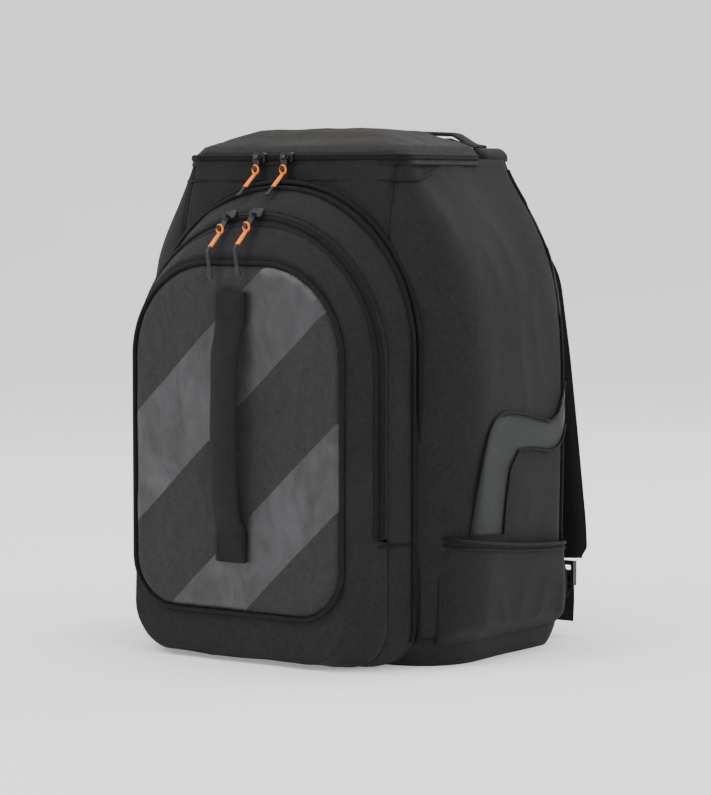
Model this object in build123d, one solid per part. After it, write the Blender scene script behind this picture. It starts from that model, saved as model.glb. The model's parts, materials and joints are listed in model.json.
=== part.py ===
"""Ski boot backpack: a hollow boot compartment with a zipped lid, a zipped front pocket whose
front folds down, side pockets, handles, zip sliders with pullers, and a padded harness.

Frame: +Z up, -Y the front, +Y the wearer's back, +X the right-hand side seen from
the front. The origin is the middle of the footprint, on the surface the bag stands on. Millimetres.
"""

import math
import os

from build123d import *

# ---- driving dimensions -------------------------------------------------------------------
WALL = 5.0  # padded fabric wall of the boot compartment
POCKET_WALL = 4.0  # padded fabric wall of the front pocket
REACH = 400.0  # half size of a cutting block, larger than the bag

FRONT_MOST = -168.0  # outer face of the front grab handle, before the shift below
BACK_MOST = 186.0  # outer face of the shoulder straps, before the shift below
SHIFT_Y = -(FRONT_MOST + BACK_MOST) / 2  # puts the origin in the middle of the depth

# boot compartment in plan, at each height: z, half width, front y, back y, front and back radius
BODY_SECTIONS = [
    (0.0, 175.0, -74.0, 130.0, 58.0, 26.0),
    (22.0, 184.0, -83.0, 136.0, 66.0, 28.0),
    (120.0, 188.0, -85.0, 139.0, 70.0, 28.0),
    (210.0, 189.0, -85.0, 140.0, 70.0, 28.0),
    (300.0, 187.0, -83.0, 140.0, 70.0, 28.0),
    (374.0, 172.0, -75.0, 140.0, 54.0, 28.0),
    (432.0, 140.0, -64.0, 138.0, 30.0, 28.0),
    (464.0, 124.0, -58.0, 136.0, 16.0, 28.0),
]
BODY_TOP = BODY_SECTIONS[-1][0]
BASE_TOP = 26.0  # seam between the base tub and the walls

# front pocket outline at each depth: y, half width, top z, top radius, bottom z, bottom radius
POCKET_SECTIONS = [
    (-50.0, 160.0, 444.0, 158.0, 0.0, 40.0),
    (-72.0, 153.0, 441.0, 151.0, 0.0, 40.0),
    (-115.0, 142.0, 410.0, 140.0, 1.0, 40.0),
    (-143.0, 121.0, 376.0, 90.0, 6.0, 44.0),
]
ZIP_Y = -115.0  # middle of the pocket's zip
ZIP_TAPE = 6.0  # width of one zip half
ZIP_GAP = 0.4  # space between the two halves
ARCH_RADIUS = POCKET_SECTIONS[2][1]  # the zip runs round this half circle
ARCH_CENTRE_Z = POCKET_SECTIONS[2][2] - ARCH_RADIUS
ZIP_END_Z = 118.0  # where the pocket's zip stops at each side
FACE_Y = POCKET_SECTIONS[3][0]  # front wall of the pocket
PAD = 7.0  # thickness of the padded front panel
PAD_FACE_Y = FACE_Y - PAD
FOLD_Y, FOLD_Z = PAD_FACE_Y - 0.5, 88.0  # the line the pocket front folds down on
PANEL_HALF, PANEL_TOP, PANEL_BOTTOM = 117.0, 366.0, 48.0
PANEL_TOP_RADIUS, PANEL_BOTTOM_RADIUS = 86.0, 46.0
PIPING = 3.0

LID_GAP = 1.0
LID_BOTTOM = BODY_TOP + LID_GAP
LID_BACK = 80.0  # the lid folds back along this edge
# lid in plan: z, half width, front y, back y, front and back radius
LID_SECTIONS = [
    (LID_BOTTOM, 124.0, -58.0, LID_BACK, 16.0, 14.0),
    (LID_BOTTOM + 10.0, 116.0, -50.0, LID_BACK - 3, 16.0, 14.0),
    (LID_BOTTOM + 25.0, 74.0, -14.0, LID_BACK - 22, 16.0, 14.0),
]

GRAB_HALF, GRAB_BOTTOM, GRAB_TOP = 17.0, 95.0, 342.0
YOKE_TOP = LID_BOTTOM + 9.0
HANDLE_Y, HANDLE_WIDTH = 124.0, 18.0

# sliders: each one's name, place and the sideways lean of its puller in degrees
LID_SLIDER_Y = LID_SECTIONS[0][2] - 2.8
LID_SLIDER_Z = BODY_TOP + LID_GAP / 2
LID_BAR_Y = LID_SLIDER_Y - 6.0
LID_POST_Z = LID_SLIDER_Z - 10.0
LID_PULLS = [("left", -35.0, -4.0), ("right", -3.0, -6.0)]
POCKET_PULLS = [("left", -10.5, -8.0), ("right", 1.6, -10.0)]
ARCH_TOP = POCKET_SECTIONS[2][2]
SLOPE_DY = POCKET_SECTIONS[2][0] - POCKET_SECTIONS[3][0]
SLOPE_DZ = POCKET_SECTIONS[2][2] - POCKET_SECTIONS[3][2]
POCKET_TAB_Y, POCKET_LINK_Z = ZIP_Y - 11.4, ARCH_TOP + 2.6
SLIDER_LIFT = 4.5  # keeps a pocket slider off the zip all the way round the arch
TAB_LENGTH, PULL_STEM, LID_TAIL, POCKET_TAIL = 9.0, 22.0, 14.0, 26.0
PULL_DROP_Y, PULL_DROP_Z, TAIL_REACH = -0.8, -0.6, 6.0  # clears the front panel's piping
LID_DROP_Y, LID_DROP_Z = -0.81, -0.585  # the way the lid's pullers lie on the pocket's top

# harness: z, x and y of the strap's middle, from the yoke down to its lower end
STRAP_PATH = [
    (446.0, 60.0, 146.5),
    (415.0, 74.0, 162.0),
    (380.0, 95.0, 172.0),
    (340.0, 119.0, 176.0),
    (270.0, 129.0, 177.0),
    (195.0, 138.0, 177.0),
    (110.0, 147.0, 178.0),
    (74.0, 149.0, 178.0),
]
STRAP_WIDTH, STRAP_THICKNESS = 66.0, 15.0
WING_X, WING_THICKNESS = 164.0, 8.0
LOCK_SHIFT = 8.0  # the ladder lock sits this far outwards of the strap's middle

POCKET_TOP_FRONT, POCKET_TOP_BACK = 119.0, 99.0  # the side pocket's top edge slopes to the back


# ---- small helpers ------------------------------------------------------------------------
def rounded_outline(left, right, low, high, r_low, r_high):
    """Edges of a rectangle whose lower and upper corners have their own radii, anticlockwise."""
    return [
        Line((left + r_low, low), (right - r_low, low)),
        CenterArc((right - r_low, low + r_low), r_low, -90, 90),
        Line((right, low + r_low), (right, high - r_high)),
        CenterArc((right - r_high, high - r_high), r_high, 0, 90),
        Line((right - r_high, high), (left + r_high, high)),
        CenterArc((left + r_high, high - r_high), r_high, 90, 90),
        Line((left, high - r_high), (left, low + r_low)),
        CenterArc((left + r_low, low + r_low), r_low, 180, 90),
    ]


def outline_face(*sizes):
    return Face(Wire([edge for edge in rounded_outline(*sizes)]))


def plan_loft(sections, grow=0.0, drop=0.0):
    """A block lofted up through plan sections, each grown sideways; drop lowers its first one."""
    faces = []
    for i, (z, half, front, back, r_front, r_back) in enumerate(sections):
        face = outline_face(
            -half - grow, half + grow, front - grow, back + grow, r_front + grow, r_back + grow
        )
        faces.append(Pos(0, 0, z - (drop if i == 0 else 0)) * face)
    return Solid.make_loft([f.outer_wire() for f in faces], False)


def upright_face(y, *sizes):
    """A rounded outline in X and Z, standing at depth y."""
    return Pos(0, y, 0) * (Rot(90, 0, 0) * outline_face(*sizes))


def pocket_loft(grow=0.0, front_grow=0.0):
    """The front pocket's block, lofted forwards through its outlines."""
    wires = []
    for y, half, top, r_top, bottom, r_bottom in POCKET_SECTIONS:
        depth = y - front_grow if y == FACE_Y else y
        face = upright_face(
            depth, -half - grow, half + grow, bottom - grow, top + grow, r_bottom + grow, r_top + grow
        )
        wires.append(face.outer_wire())
    return Solid.make_loft(wires, True)


def block(x0, x1, y0, y1, z0, z1):
    return Pos((x0 + x1) / 2, (y0 + y1) / 2, (z0 + z1) / 2) * Box(x1 - x0, y1 - y0, z1 - z0)


def side_prism(points):
    """A prism right across the bag, from an outline given as (y, z) points."""
    face = make_face(Plane.YZ * Polyline(*points, close=True))
    return extrude(face, amount=REACH, both=True)


def write(name, shape):
    """Writes one node, moved so that the origin is in the middle of the depth."""
    solids = [s for s in shape.solids() if s.volume > 1.0]
    moved = Pos(0, SHIFT_Y, 0) * Compound(children=solids)
    export_step(moved, f"parts/{name}.step")


def write_pair(name, shape):
    """Writes a piece that lies at +X, and its mirror image at -X."""
    write(f"{name}_right", shape)
    write(f"{name}_left", mirror(shape, Plane.YZ))


# ---- boot compartment ---------------------------------------------------------------------
def boot_compartment(outer):
    inner_sections = [(WALL, *BODY_SECTIONS[0][1:])] + BODY_SECTIONS[1:]
    inner = plan_loft(inner_sections, -WALL)
    inner += block(-110, 110, -40, 110, BODY_TOP - 1, BODY_TOP + 1)
    shell = outer - inner
    seam_x, seam_back = 118.0, 120.0
    above = block(-REACH, REACH, -REACH, REACH, BASE_TOP, REACH * 2)
    write("base_tub", shell - above)
    walls = shell & above
    front_zone = block(-seam_x, seam_x, -REACH, 0, -1, REACH * 2)
    back_zone = block(-REACH, REACH, seam_back, REACH, -1, REACH * 2)
    write("front_wall", walls & front_zone)
    write("back_wall", walls & back_zone)
    sides = walls - front_zone - back_zone
    write("side_wall_right", sides & block(0, REACH, -REACH, REACH, -1, REACH * 2))
    write("side_wall_left", sides & block(-REACH, 0, -REACH, REACH, -1, REACH * 2))


def stiffeners():
    """The floor board and the back frame sheet, which slip in behind the lining."""
    floor_z = WALL + 0.5
    board = extrude(outline_face(-145, 145, -44, 100, 36, 20), amount=3.0)
    write("floor_board", Pos(0, 0, floor_z) * board)
    sheet_y = BODY_SECTIONS[-2][3] - WALL - 8.0
    sheet = extrude(upright_face(sheet_y, -105, 105, 30, 440, 30, 30), amount=2.0)
    write("frame_sheet", sheet)


def lid():
    outer = plan_loft(LID_SECTIONS)
    inner_sections = LID_SECTIONS[:-1] + [(LID_SECTIONS[-1][0] - WALL, *LID_SECTIONS[-1][1:])]
    inner = plan_loft(inner_sections, -WALL, drop=1.0)
    shell = outer - inner
    write("lid_panel", shell)
    rim = plan_loft(LID_SECTIONS[:2], 1.6) - plan_loft(LID_SECTIONS[:2], 0.0, drop=1.0)
    zip_lane = block(-REACH, REACH, -REACH, LID_BACK - 20, LID_BOTTOM, LID_BOTTOM + 6)
    write("lid_zip_upper", (rim - outer) & zip_lane)


def lid_zip_lower(outer):
    rim = plan_loft(BODY_SECTIONS, 1.6) - outer
    lane = block(-REACH, REACH, -REACH, LID_BACK - 20, BODY_TOP - 6, BODY_TOP)
    write("lid_zip_lower", rim & lane)


def rear_yoke():
    """The padded strip behind the lid that carries the top handle and the straps."""
    foot = (LID_BOTTOM - LID_GAP, 122.0, LID_BACK + 3, 136.0, 10.0, 12.0)
    head = (YOKE_TOP, 108.0, LID_BACK + 7, 134.0, 8.0, 10.0)
    write("rear_yoke", plan_loft([foot, head]))


# ---- front pocket -------------------------------------------------------------------------
def front_pocket(body_outer):
    block_outer = pocket_loft() - body_outer
    inner = pocket_loft(-POCKET_WALL, -POCKET_WALL)
    shell = block_outer - inner
    behind_zip = block(-REACH, REACH, ZIP_Y + ZIP_TAPE + ZIP_GAP / 2, REACH, -REACH, REACH * 2)
    lower = side_prism(
        [
            (ZIP_Y + ZIP_TAPE + ZIP_GAP / 2, -20),
            (ZIP_Y + ZIP_TAPE + ZIP_GAP / 2, ZIP_END_Z),
            (ZIP_Y - ZIP_TAPE, ZIP_END_Z),
            (FOLD_Y, FOLD_Z - 0.4),
            (FOLD_Y - 40, FOLD_Z - 0.4),
            (FOLD_Y - 40, -20),
        ]
    )
    upper = side_prism(
        [
            (ZIP_Y - ZIP_TAPE - ZIP_GAP / 2, ZIP_END_Z + 0.8),
            (ZIP_Y - ZIP_TAPE - ZIP_GAP / 2, REACH * 2),
            (FOLD_Y - 40, REACH * 2),
            (FOLD_Y - 40, FOLD_Z + 0.4),
            (FOLD_Y, FOLD_Z + 0.4),
        ]
    )
    write("pocket_gusset_fixed", shell & behind_zip)
    write("pocket_tub", shell & lower)
    write("pocket_front", shell & upper)
    above_end = ZIP_END_Z + 0.8
    half_space = block(-REACH, REACH, -REACH, REACH, above_end, REACH * 2)
    ring = (pocket_loft() - pocket_loft(-2.0, -2.0)) & half_space
    lane_back = block(
        -REACH, REACH, ZIP_Y + ZIP_GAP / 2, ZIP_Y + ZIP_TAPE, above_end, REACH * 2
    )
    lane_front = block(
        -REACH, REACH, ZIP_Y - ZIP_TAPE, ZIP_Y - ZIP_GAP / 2, above_end, REACH * 2
    )
    write("pocket_zip_back", ring & lane_back)
    write("pocket_zip_front", ring & lane_front)
    return lower, upper


def pocket_trim(body_outer, lower, upper):
    panel = extrude(
        upright_face(
            FACE_Y,
            -PANEL_HALF,
            PANEL_HALF,
            PANEL_BOTTOM,
            PANEL_TOP,
            PANEL_BOTTOM_RADIUS,
            PANEL_TOP_RADIUS,
        ),
        amount=PAD,
    )
    write("front_panel_upper", panel & upper)
    write("front_panel_lower", panel & lower)
    grown = extrude(
        upright_face(
            FACE_Y,
            -PANEL_HALF - PIPING,
            PANEL_HALF + PIPING,
            PANEL_BOTTOM - PIPING,
            PANEL_TOP + PIPING,
            PANEL_BOTTOM_RADIUS + PIPING,
            PANEL_TOP_RADIUS + PIPING,
        ),
        amount=PAD - 2,
    )
    ring = grown - panel
    write("panel_piping_upper", ring & upper)
    write("panel_piping_lower", ring & lower)
    arch = (pocket_loft(PIPING) - pocket_loft()) & block(-REACH, REACH, -80, -50, BASE_TOP, 460)
    write("arch_piping", arch - body_outer)


def grab_handle():
    """The long webbing handle down the front, sewn flat at both ends and bowed off the panel."""
    stand = PAD_FACE_Y - 0.3
    points = [
        (stand, GRAB_BOTTOM),
        (stand, GRAB_TOP),
        (stand - 4, GRAB_TOP),
        (stand - 5, GRAB_TOP - 22),
        (FRONT_MOST, GRAB_TOP - 60),
        (FRONT_MOST, GRAB_BOTTOM + 60),
        (stand - 5, GRAB_BOTTOM + 22),
        (stand - 4, GRAB_BOTTOM),
    ]
    outer = make_face(Plane.YZ * Polyline(*points, close=True))
    gap_points = [
        (stand + 1, GRAB_BOTTOM + 24),
        (stand + 1, GRAB_TOP - 24),
        (stand - 1, GRAB_TOP - 24),
        (FRONT_MOST + 5, GRAB_TOP - 60),
        (FRONT_MOST + 5, GRAB_BOTTOM + 60),
        (stand - 1, GRAB_BOTTOM + 24),
    ]
    gap = make_face(Plane.YZ * Polyline(*gap_points, close=True))
    band = extrude(outer, amount=GRAB_HALF, both=True) - extrude(gap, amount=GRAB_HALF + 1, both=True)
    write("front_grab_handle", band)


def top_handle():
    """The hauling loop over the yoke, a flat band with room for a gloved hand."""
    rise, half, foot_z = 14.0, 96.0, YOKE_TOP
    under = [(-half + 18, foot_z), (-half + 34, foot_z + rise), (half - 34, foot_z + rise), (half - 18, foot_z)]
    over = [(half, foot_z), (half, foot_z + 3), (half - 28, foot_z + rise + 4), (28 - half, foot_z + rise + 4)]
    over.append((-half, foot_z + 3))
    over.append((-half, foot_z))
    face = make_face(Plane.XZ * Polyline(*under, *over, close=True))
    write("top_handle", Pos(0, HANDLE_Y, 0) * extrude(face, amount=HANDLE_WIDTH / 2, both=True))


# ---- zip sliders and their pullers --------------------------------------------------------
def strip(points, thickness, width):
    """A flat strip of the given width in X, following a line of (y, z) points."""
    centre = [Vector(0, y, z) for y, z in points]
    sides = []
    for i, p in enumerate(centre):
        before = (p - centre[i - 1]).normalized() if i else (centre[1] - p).normalized()
        after = (centre[i + 1] - p).normalized() if i < len(centre) - 1 else before
        along = (before + after).normalized()
        across = Vector(0, -along.Z, along.Y) * (thickness / 2 / along.dot(before))
        sides.append((p + across, p - across))
    ring = [s[0] for s in sides] + [s[1] for s in reversed(sides)]
    face = make_face(Polyline(*ring, close=True))
    return extrude(face, amount=width / 2, dir=(1, 0, 0), both=True)


def rod_y(radius, y0, y1, x, z):
    """A round bar along Y."""
    return Pos(x, (y0 + y1) / 2, z) * (Rot(90, 0, 0) * Cylinder(radius, abs(y1 - y0)))


def rod_x(radius, x0, x1, y, z):
    """A round bar along X."""
    return Pos((x0 + x1) / 2, y, z) * (Rot(0, 90, 0) * Cylinder(radius, abs(x1 - x0)))


def lid_slider(x):
    """A slider on the upright part of the lid's zip, with a bar for its tab."""
    plate = block(x - 7, x + 7, LID_SLIDER_Y - 3.2, LID_SLIDER_Y, LID_SLIDER_Z - 5, LID_SLIDER_Z + 5)
    plate = fillet(plate.edges().filter_by(Axis.Y), 2.6)
    body = plate + rod_x(0.8, x - 4.4, x + 4.4, LID_BAR_Y, LID_SLIDER_Z)
    for side in (-1, 1):
        foot = x + side * 3.6
        body += block(foot - 0.8, foot + 0.8, LID_BAR_Y - 0.8, LID_SLIDER_Y - 3, LID_SLIDER_Z - 1, LID_SLIDER_Z + 1)
    return body


def lid_tab(x):
    ring = rod_x(2.4, x - 2.2, x + 2.2, LID_BAR_Y, LID_SLIDER_Z)
    plate = strip([(LID_BAR_Y, LID_SLIDER_Z - 1.5), (LID_BAR_Y, LID_POST_Z - 3)], 1.6, 6.4)
    post = rod_y(1.1, LID_BAR_Y, LID_BAR_Y - 3.6, x, LID_POST_Z) + rod_y(2.4, LID_BAR_Y - 3.6, LID_BAR_Y - 4.4, x, LID_POST_Z)
    body = ring + Pos(x, 0, 0) * plate + post
    return body - rod_x(0.9, x - 5, x + 5, LID_BAR_Y, LID_SLIDER_Z)


def pocket_slider():
    """A slider at the top of the arch, with a post pointing forwards for its tab."""
    plate = Box(14, 10, 3.2)
    plate = fillet(plate.edges().filter_by(Axis.Z), 2.6)
    tilt = math.degrees(math.atan2(SLOPE_DY, SLOPE_DZ))
    seat_y = ZIP_Y - SLIDER_LIFT * math.cos(math.radians(tilt))
    seat_z = ARCH_TOP + SLIDER_LIFT * math.sin(math.radians(tilt))
    seat = Pos(0, seat_y, seat_z)
    body = seat * (Rot(90 - tilt, 0, 0) * plate)
    post = rod_y(1.0, seat_y, POCKET_TAB_Y - 2.2, 0, POCKET_LINK_Z)
    head = rod_y(2.2, POCKET_TAB_Y - 1.3, POCKET_TAB_Y - 2.2, 0, POCKET_LINK_Z)
    return body + post + head


def along_slope(y, z, distance):
    """The point (y, z) reached by going down parallel to the pocket's front slope."""
    run = math.hypot(SLOPE_DY, SLOPE_DZ)
    return (y - SLOPE_DY / run * distance, z - SLOPE_DZ / run * distance)


def pocket_tab(x, z_shift):
    eye = rod_y(2.5, POCKET_TAB_Y - 0.8, POCKET_TAB_Y + 0.8, 0, POCKET_LINK_Z)
    knee = (POCKET_TAB_Y, POCKET_LINK_Z - 3.6)
    plate = strip([(POCKET_TAB_Y, POCKET_LINK_Z - 1.8), knee, along_slope(*knee, TAB_LENGTH + 2.6)], 1.6, 6.4)
    y, z = along_slope(*knee, TAB_LENGTH)
    post = rod_y(1.1, y, y - 4.8, 0, z) + rod_y(2.4, y - 4.8, y - 5.6, 0, z)
    body = eye + plate + post - rod_y(1.25, POCKET_TAB_Y - 3, POCKET_TAB_Y + 3, 0, POCKET_LINK_Z)
    return Pos(x, 0, z_shift) * body


def puller(x, y, z, path, lean):
    """The orange loop and stem hung on a tab's post, and the dark tail below it."""
    eye = rod_y(4.4, y - 0.9, y + 0.9, 0, z - 0.9) - rod_y(2.1, y - 3, y + 3, 0, z - 0.9)
    stem = strip(path["stem"], 2.6, 4.4)
    loop = eye + (stem - rod_y(4.3, y - 1.4, y + 1.4, 0, z - 0.9))
    tail = strip(path["tail"], 2.0, 5.0)
    pivot = Pos(0, 0, z)
    turn = Pos(x, 0, 0) * pivot * Rot(0, lean, 0) * pivot.inverse()
    return turn * loop, turn * tail


def lid_pulls():
    for side, x, lean in LID_PULLS:
        write(f"lid_slider_{side}", lid_slider(x))
        write(f"lid_pull_tab_{side}", lid_tab(x))
        y = LID_BAR_Y - 2.2
        far = (LID_DROP_Y * PULL_STEM, LID_DROP_Z * PULL_STEM)
        start = (y, LID_POST_Z - 4.6)
        stem_end = (start[0] + far[0], start[1] + far[1])
        tail_end = (stem_end[0] + LID_DROP_Y * LID_TAIL, stem_end[1] + LID_DROP_Z * LID_TAIL)
        loop, tail = puller(x, y, LID_POST_Z, {"stem": [start, stem_end], "tail": [stem_end, tail_end]}, lean)
        write(f"lid_puller_{side}", loop)
        write(f"lid_puller_tail_{side}", tail)


def pocket_pulls():
    arch_axis = Pos(0, 0, ARCH_CENTRE_Z)
    for side, angle, lean in POCKET_PULLS:
        turn = arch_axis * Rot(0, angle, 0) * arch_axis.inverse()
        write(f"pocket_slider_{side}", turn * pocket_slider())
        link_radius = POCKET_LINK_Z - ARCH_CENTRE_Z
        x = link_radius * math.sin(math.radians(angle))
        z_shift = link_radius * (math.cos(math.radians(angle)) - 1)
        write(f"pocket_pull_tab_{side}", pocket_tab(x, z_shift))
        y, z = along_slope(POCKET_TAB_Y, POCKET_LINK_Z - 3.6, TAB_LENGTH)
        y -= 3.2
        start = (y, z - 4.4)
        stem_end = (start[0] + PULL_DROP_Y * PULL_STEM, start[1] + PULL_DROP_Z * PULL_STEM)
        bend = (stem_end[0] + PULL_DROP_Y * TAIL_REACH, stem_end[1] + PULL_DROP_Z * TAIL_REACH)
        path = {
            "stem": [start, stem_end],
            "tail": [stem_end, bend, (bend[0], bend[1] - POCKET_TAIL)],
        }
        loop, tail = puller(x, y, z, path, lean)
        write(f"pocket_puller_{side}", Pos(0, 0, z_shift) * loop)
        write(f"pocket_puller_tail_{side}", Pos(0, 0, z_shift) * tail)


# ---- sides and back -----------------------------------------------------------------------
def side_pocket(body_outer):
    """A flat pocket on the lower side, open along its top edge."""
    low, front, back = 22.0, -66.0, 126.0
    corners = [(front, low), (back, low), (back, POCKET_TOP_BACK), (front, POCKET_TOP_FRONT)]
    side_view = make_face(Plane.YZ * Polyline(*corners, close=True))
    zone = Pos(100, 0, 0) * extrude(side_view, amount=REACH, dir=(1, 0, 0))
    skin = (plan_loft(BODY_SECTIONS, 10.0) - body_outer) & zone
    cavity_zone = block(100, REACH, front + 4, back - 4, low + 8, POCKET_TOP_FRONT + 5)
    write_pair("side_pocket", skin - (plan_loft(BODY_SECTIONS, 7.0) & cavity_zone))


def side_inlay(body_outer):
    """The smooth bent inlay above the side pocket."""
    points = [(-44, 119), (-14, 222), (0, 236), (50, 227), (92, 216), (106, 222), (126, 256)]
    points += [(128, 214), (112, 190), (100, 187), (60, 193), (38, 194), (22, 176), (12, 115)]
    zone = make_face(Plane.YZ * Polyline(*points, close=True))
    skin = plan_loft(BODY_SECTIONS, 1.6) - body_outer
    beyond = extrude(Pos(150, 0, 0) * zone, amount=REACH, dir=(1, 0, 0))
    write_pair("side_inlay", skin & beyond)


def back_pads(body_outer):
    tall = extrude(upright_face(152, 26, 118, 118, 396, 26, 30), amount=24)
    write_pair("back_pad", tall - body_outer)
    low = extrude(upright_face(154, -128, 128, 34, 106, 28, 20), amount=24)
    write("lumbar_pad", low - body_outer)


def shoulder_strap():
    """The padded strap, a band lofted down from the yoke to its lower end."""
    faces = []
    for z, x, y in STRAP_PATH:
        face = Pos(x, y, z) * RectangleRounded(STRAP_WIDTH, STRAP_THICKNESS, 5.0)
        faces.append(face.face().outer_wire())
    write_pair("shoulder_strap", Solid.make_loft(faces, False))


def strap_anchor(body_outer):
    """The fabric wing at the lower corner, the webbing sewn to it and the ladder lock."""
    points = [(128, 108), (146, 104), (169, 66), (170, 50), (164, 26), (148, 14), (128, 14)]
    face = make_face(Plane.YZ * Polyline(*points, close=True))
    wing = Pos(WING_X, 0, 0) * extrude(face, amount=WING_THICKNESS / 2, both=True) - body_outer
    write_pair("strap_wing", wing)
    lower = STRAP_PATH[-1]
    lock_x, lock_y, lock_top = lower[1] + LOCK_SHIFT, lower[2] - 3, lower[0] - 0.5
    frame = block(lock_x - 17, lock_x + 13, lock_y - 3, lock_y + 3, lock_top - 24, lock_top)
    slot = block(lock_x - 14, lock_x + 10, lock_y - 4, lock_y + 4, 0, 5)
    for z in (lock_top - 9, lock_top - 20):
        frame -= Pos(0, 0, z) * slot
    write_pair("ladder_lock", frame)
    web_points = [(lock_y, lock_top - 24), (lock_y, lock_top - 28), (166, 40), (154, 32)]
    web = Pos(lock_x - 2, 0, 0) * strip(web_points, 2.0, 25.0)
    write_pair("strap_webbing", web - wing)
    tail_points = [(lock_y + 5, lock_top - 16), (lock_y + 6, 34), (lock_y + 4, 12)]
    write_pair("strap_tail", Pos(lock_x - 3, 0, 0) * strip(tail_points, 2.0, 25.0))


def main():
    os.makedirs("parts", exist_ok=True)
    body_outer = plan_loft(BODY_SECTIONS)
    boot_compartment(body_outer)
    stiffeners()
    lid()
    lid_zip_lower(body_outer)
    rear_yoke()
    top_handle()
    lower, upper = front_pocket(body_outer)
    pocket_trim(body_outer, lower, upper)
    grab_handle()
    lid_pulls()
    pocket_pulls()
    side_pocket(body_outer)
    side_inlay(body_outer)
    back_pads(body_outer)
    shoulder_strap()
    strap_anchor(body_outer)


main()
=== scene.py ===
"""Looks of the ski boot backpack: sewn fabric skins, piping, zips, webbing and orange pullers
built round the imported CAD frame. Shapes are worked out in the model's millimetres and turned into
metres when a mesh is made."""

import json
import math

import bpy
import numpy as np
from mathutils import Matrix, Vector, noise
from mathutils.bvhtree import BVHTree

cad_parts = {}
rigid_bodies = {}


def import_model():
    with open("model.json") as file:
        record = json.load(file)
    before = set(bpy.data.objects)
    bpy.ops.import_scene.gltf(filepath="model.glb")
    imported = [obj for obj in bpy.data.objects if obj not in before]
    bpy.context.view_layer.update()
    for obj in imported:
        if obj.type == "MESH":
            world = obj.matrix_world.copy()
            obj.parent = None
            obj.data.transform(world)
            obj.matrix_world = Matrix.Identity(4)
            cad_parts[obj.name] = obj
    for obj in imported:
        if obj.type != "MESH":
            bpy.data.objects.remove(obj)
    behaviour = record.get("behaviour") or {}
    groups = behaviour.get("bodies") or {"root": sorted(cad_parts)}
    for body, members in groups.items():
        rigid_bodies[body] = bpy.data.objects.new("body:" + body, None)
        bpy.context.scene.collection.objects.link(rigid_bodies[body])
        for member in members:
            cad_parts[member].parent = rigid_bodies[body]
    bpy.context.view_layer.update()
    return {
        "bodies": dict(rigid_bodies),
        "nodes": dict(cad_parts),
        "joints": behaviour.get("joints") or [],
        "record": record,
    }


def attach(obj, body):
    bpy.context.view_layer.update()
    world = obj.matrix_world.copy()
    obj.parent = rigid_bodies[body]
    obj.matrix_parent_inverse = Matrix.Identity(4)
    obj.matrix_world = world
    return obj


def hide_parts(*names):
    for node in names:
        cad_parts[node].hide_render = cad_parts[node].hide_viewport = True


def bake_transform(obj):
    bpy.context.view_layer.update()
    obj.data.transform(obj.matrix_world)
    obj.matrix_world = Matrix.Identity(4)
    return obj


MM = 0.001
SHIFT = np.array([0.0, -9.0, 0.0])  # the CAD's shift that centres the footprint
UV_MAP = "weave"
CORNER_POINTS = 90  # points on each corner of a dense outline
VIEW_AZIMUTH, VIEW_ELEVATION, VIEW_DISTANCE = math.radians(35.0), math.radians(4.0), 2.8
CENTRE = Vector((0.0, 0.0, 0.245))
VIEW_TARGET = CENTRE + Vector((0.0168, 0.0117, -0.009))
VIEW_LENS = 148.0

# boot compartment in plan: z, half width, front y, back y, front and back radius
BODY = np.array([
    (0.0, 175.0, -74.0, 130.0, 58.0, 26.0),
    (22.0, 184.0, -83.0, 136.0, 66.0, 28.0),
    (120.0, 188.0, -85.0, 139.0, 70.0, 28.0),
    (210.0, 189.0, -85.0, 140.0, 70.0, 28.0),
    (300.0, 187.0, -83.0, 140.0, 70.0, 28.0),
    (374.0, 172.0, -75.0, 140.0, 54.0, 28.0),
    (432.0, 140.0, -64.0, 138.0, 30.0, 28.0),
    (464.0, 124.0, -58.0, 136.0, 16.0, 28.0),
])
# front pocket outline: y, half width, bottom z, top z, bottom and top radius
POCKET = np.array([
    (-50.0, 160.0, 0.0, 444.0, 40.0, 158.0),
    (-72.0, 153.0, 0.0, 441.0, 40.0, 151.0),
    (-115.0, 142.0, 1.0, 410.0, 40.0, 140.0),
    (-143.0, 121.0, 6.0, 376.0, 44.0, 90.0),
])
# lid in plan: z, half width, front y, back y, front and back radius
LID = np.array([
    (465.0, 124.0, -58.0, 80.0, 16.0, 14.0),
    (475.0, 116.0, -50.0, 77.0, 16.0, 14.0),
    (490.0, 74.0, -14.0, 58.0, 16.0, 14.0),
])
PANEL = (117.0, 48.0, 366.0, 46.0, 86.0)  # half width, bottom, top, bottom and top radius
FACE_Y, PANEL_Y = -143.0, -150.0
ZIP_Y, ZIP_END_Z = -115.0, 118.0
COIL_PITCH = 4.2
POCKET_RING = 430  # points round the front pocket's outline
BASE_TOP, BODY_TOP = 26.0, 464.0
FRONT_SEAM_X, BACK_SEAM_Y = 118.0, 120.0
POUCH_LOW, POUCH_RISE = 21.0, 91.0  # side pocket's bottom, and its height before its top slopes
POUCH_FRONT_Y, POUCH_BACK_Y = -65.0, 125.0
BAND_SLOPE, BANDS = 0.93, ((0.231, 0.334), (0.04, 0.12))  # rise per width, and heights in metres
LID_SEAMS_Y = (-33.0, 6.0)
WELT_FRONT_Z, WELT_RISE, WELT_REACH = 443.0, 17.0, 205.0
LID_ZIP_REACH = 243.0  # from the front's middle along the zip to each of its ends
RIGHT_LEFT = (("right", 1.0), ("left", -1.0))
WALLS = ("front_wall", "back_wall", "side_wall_left", "side_wall_right")
FOLD_START, FOLD_END = np.array([0.0, -128.0, 94.0]), np.array([0.0, -145.0, 111.0])


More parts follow.
